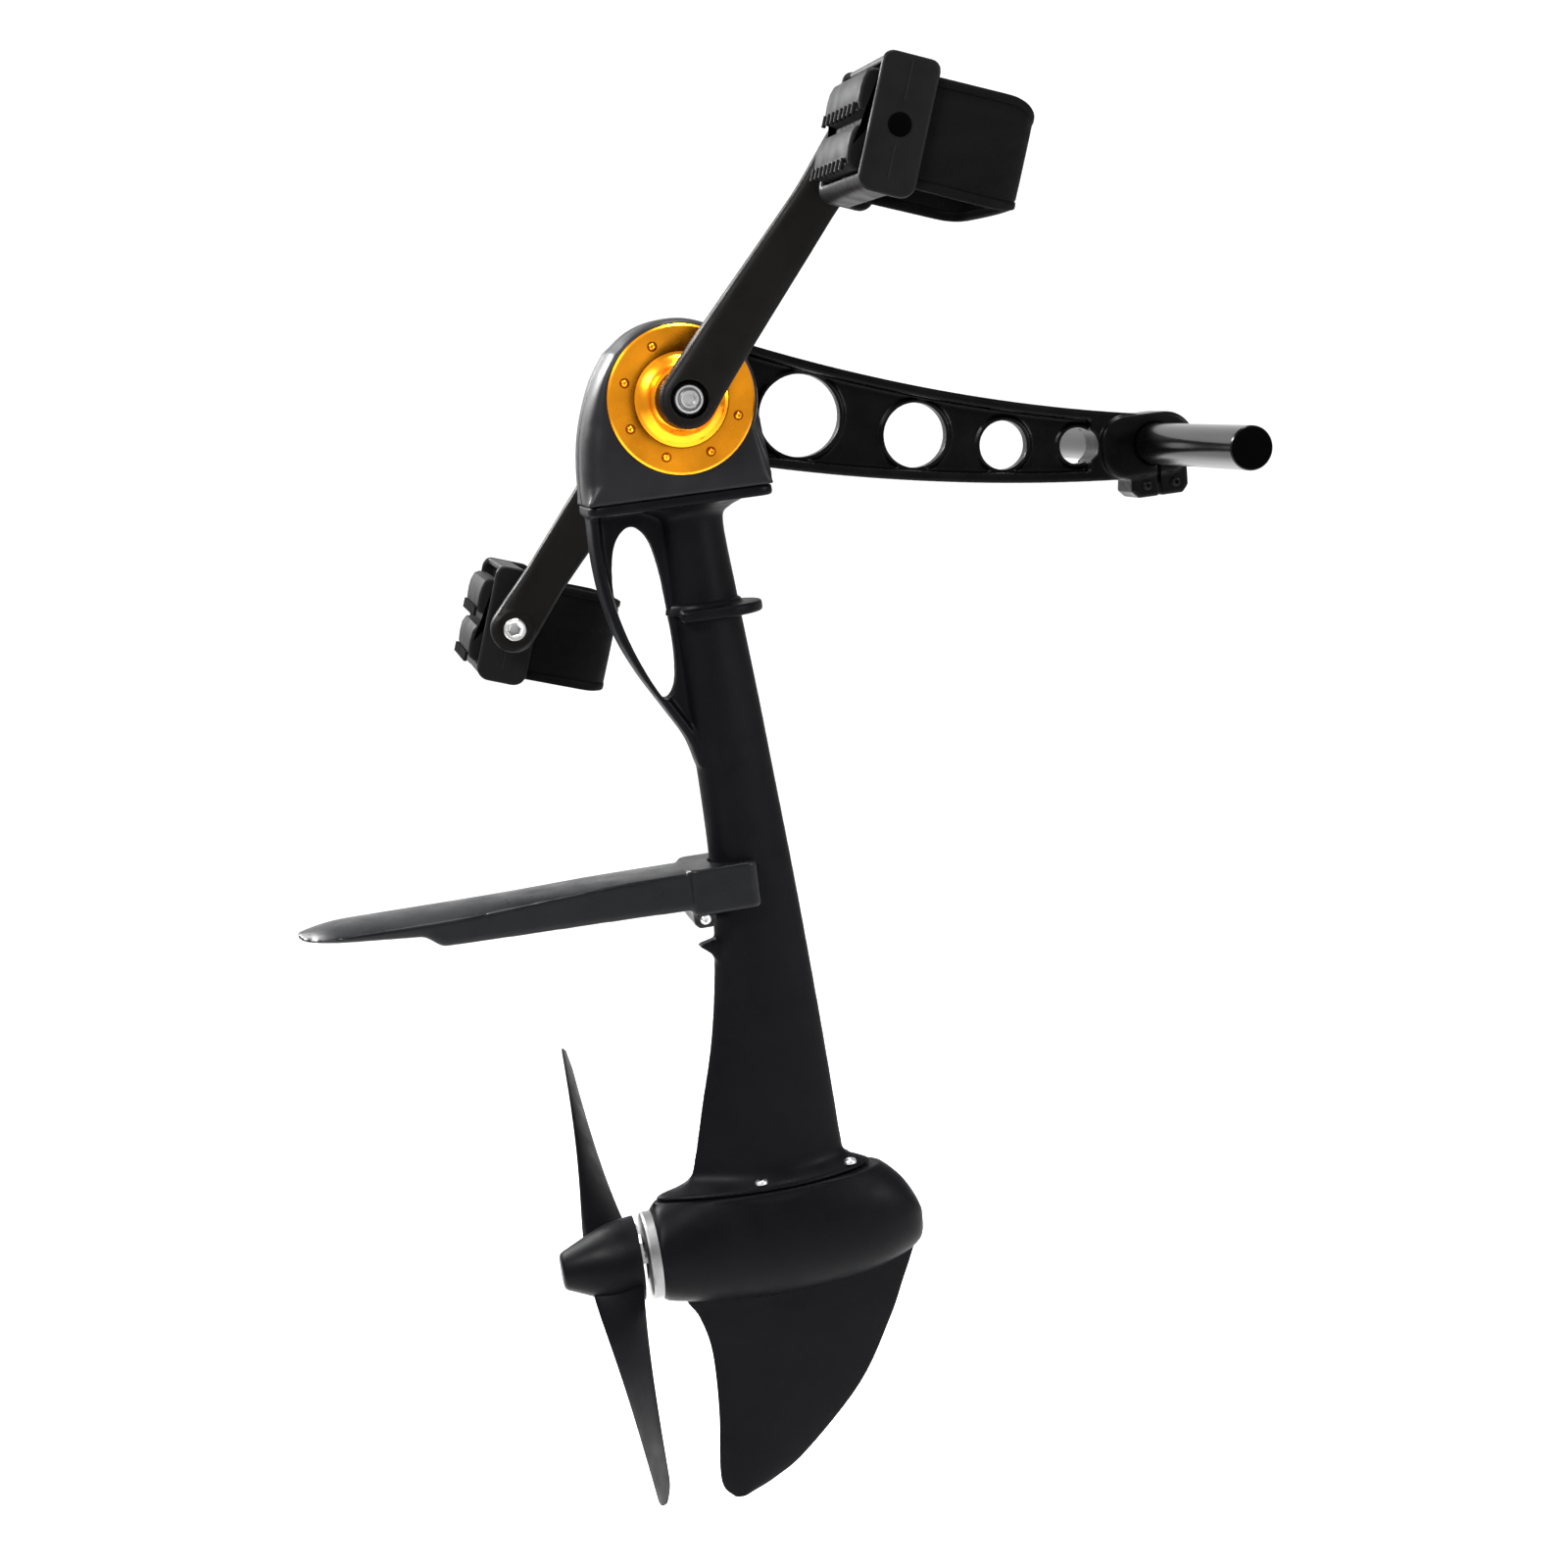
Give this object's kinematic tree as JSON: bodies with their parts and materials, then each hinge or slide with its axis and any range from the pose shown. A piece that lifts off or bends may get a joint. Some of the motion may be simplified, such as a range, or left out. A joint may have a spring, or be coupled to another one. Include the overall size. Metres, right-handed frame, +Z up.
{
  "type": "kayak pedal drive",
  "caption": "Kayak pedal drive: cranks with toe-strap pedals turn bevel gears, a vertical shaft in a faired leg and a two-blade propeller; hangs from a cross tube.",
  "frame": {"origin": "centre of the cross tube that the drive hangs and swings on", "axes": "+X forward to the bow, +Y to port along the cross tube, +Z up along the leg"},
  "size_m": [0.5907, 0.3964, 0.8696],
  "materials": {
    "gold_anodised": "anodised gold, satin",
    "stainless": "plain stainless",
    "gear_steel": "ground, oiled",
    "black_casting": "satin black, fine moulded grain",
    "black_coated_alloy": "satin black coat",
    "black_tube": "gloss black",
    "grey_crank_alloy": "matt dark grey coat",
    "bearing_steel": "bright",
    "nylon_bush": "plain",
    "black_rubber": "matt",
    "tread_rubber": "matt, moulded",
    "pedal_resin": "matt moulded resin",
    "strap_webbing": "coated webbing, matt",
    "plate_plastic": "satin moulded"
  },
  "bodies": {
    "frame": {"starboard_head_casing": "black_casting", "port_head_casing": "black_casting", "starboard_bearing_cap": "gold_anodised", "port_bearing_cap": "gold_anodised", "starboard_axle_bearing": "bearing_steel", "port_axle_bearing": "bearing_steel", "starboard_axle_seal": "black_rubber", "port_axle_seal": "black_rubber", "mounting_arm": "black_coated_alloy", "clamp_pinch_screw": "stainless", "cross_tube": "black_tube", "starboard_tube_plug": "black_rubber", "port_tube_plug": "black_rubber", "leg_casting": "black_casting", "deck_collar": "black_casting", "slot_cover_plate": "plate_plastic", "starboard_cover_screw": "stainless", "port_cover_screw": "stainless", "lower_gearcase": "black_casting", "gearcase_screw_1": "stainless", "gearcase_screw_2": "stainless", "gearcase_screw_3": "stainless", "gearcase_screw_4": "stainless", "propeller_bearing_carrier": "stainless", "propeller_bearing": "bearing_steel", "propeller_shaft_seal": "black_rubber", "forward_bearing": "bearing_steel", "upper_shaft_bearing": "bearing_steel", "shaft_guide_bush": "nylon_bush", "lower_shaft_bearing": "bearing_steel", "lower_shaft_seal": "black_rubber"},
    "crankset": {"crank_axle": "stainless", "crown_gear": "gear_steel", "starboard_crank": "grey_crank_alloy", "port_crank": "grey_crank_alloy", "starboard_crank_bolt": "stainless", "port_crank_bolt": "stainless", "starboard_pedal_spindle": "stainless", "port_pedal_spindle": "stainless"},
    "starboard_pedal": {"starboard_pedal_body": "pedal_resin", "starboard_pedal_tread_aft": "tread_rubber", "starboard_pedal_tread_fore": "tread_rubber", "starboard_pedal_bush": "nylon_bush", "starboard_pedal_dust_cap": "pedal_resin", "starboard_toe_strap": "strap_webbing"},
    "port_pedal": {"port_pedal_body": "pedal_resin", "port_pedal_tread_aft": "tread_rubber", "port_pedal_tread_fore": "tread_rubber", "port_pedal_bush": "nylon_bush", "port_pedal_dust_cap": "pedal_resin", "port_toe_strap": "strap_webbing"},
    "drive_train": {"drive_shaft": "stainless", "upper_pinion": "gear_steel", "lower_bevel_gear": "gear_steel"},
    "propeller_unit": {"propeller": "black_casting", "propeller_shaft": "stainless", "propeller_drive_pin": "stainless", "propeller_thrust_washer": "stainless", "propeller_pinion": "gear_steel"}
  },
  "joints": [
    {"name": "crank_spin", "type": "hinge", "parent": "frame", "child": "crankset", "pos_m": [-0.294, 0, 0.0643], "axis": [0, 1, 0], "continuous": true},
    {"name": "starboard_pedal_spin", "type": "hinge", "parent": "crankset", "child": "starboard_pedal", "pos_m": [-0.1861, -0.1465, 0.19567], "axis": [0, 1, 0], "continuous": true},
    {"name": "port_pedal_spin", "type": "hinge", "parent": "crankset", "child": "port_pedal", "pos_m": [-0.4019, 0.1465, -0.06706], "axis": [0, 1, 0], "continuous": true},
    {"name": "drive_shaft_spin", "type": "hinge", "parent": "frame", "child": "drive_train", "pos_m": [-0.294, 0, -0.2], "axis": [0, 0, 1], "continuous": true},
    {"name": "propeller_spin", "type": "hinge", "parent": "frame", "child": "propeller_unit", "pos_m": [-0.403, 0, -0.4644], "axis": [1, 0, 0], "continuous": true}
  ],
  "couplings": [
    {"joint": "drive_shaft_spin", "follows": "crank_spin", "ratio": 4},
    {"joint": "propeller_spin", "follows": "crank_spin", "ratio": 9.6}
  ]
}
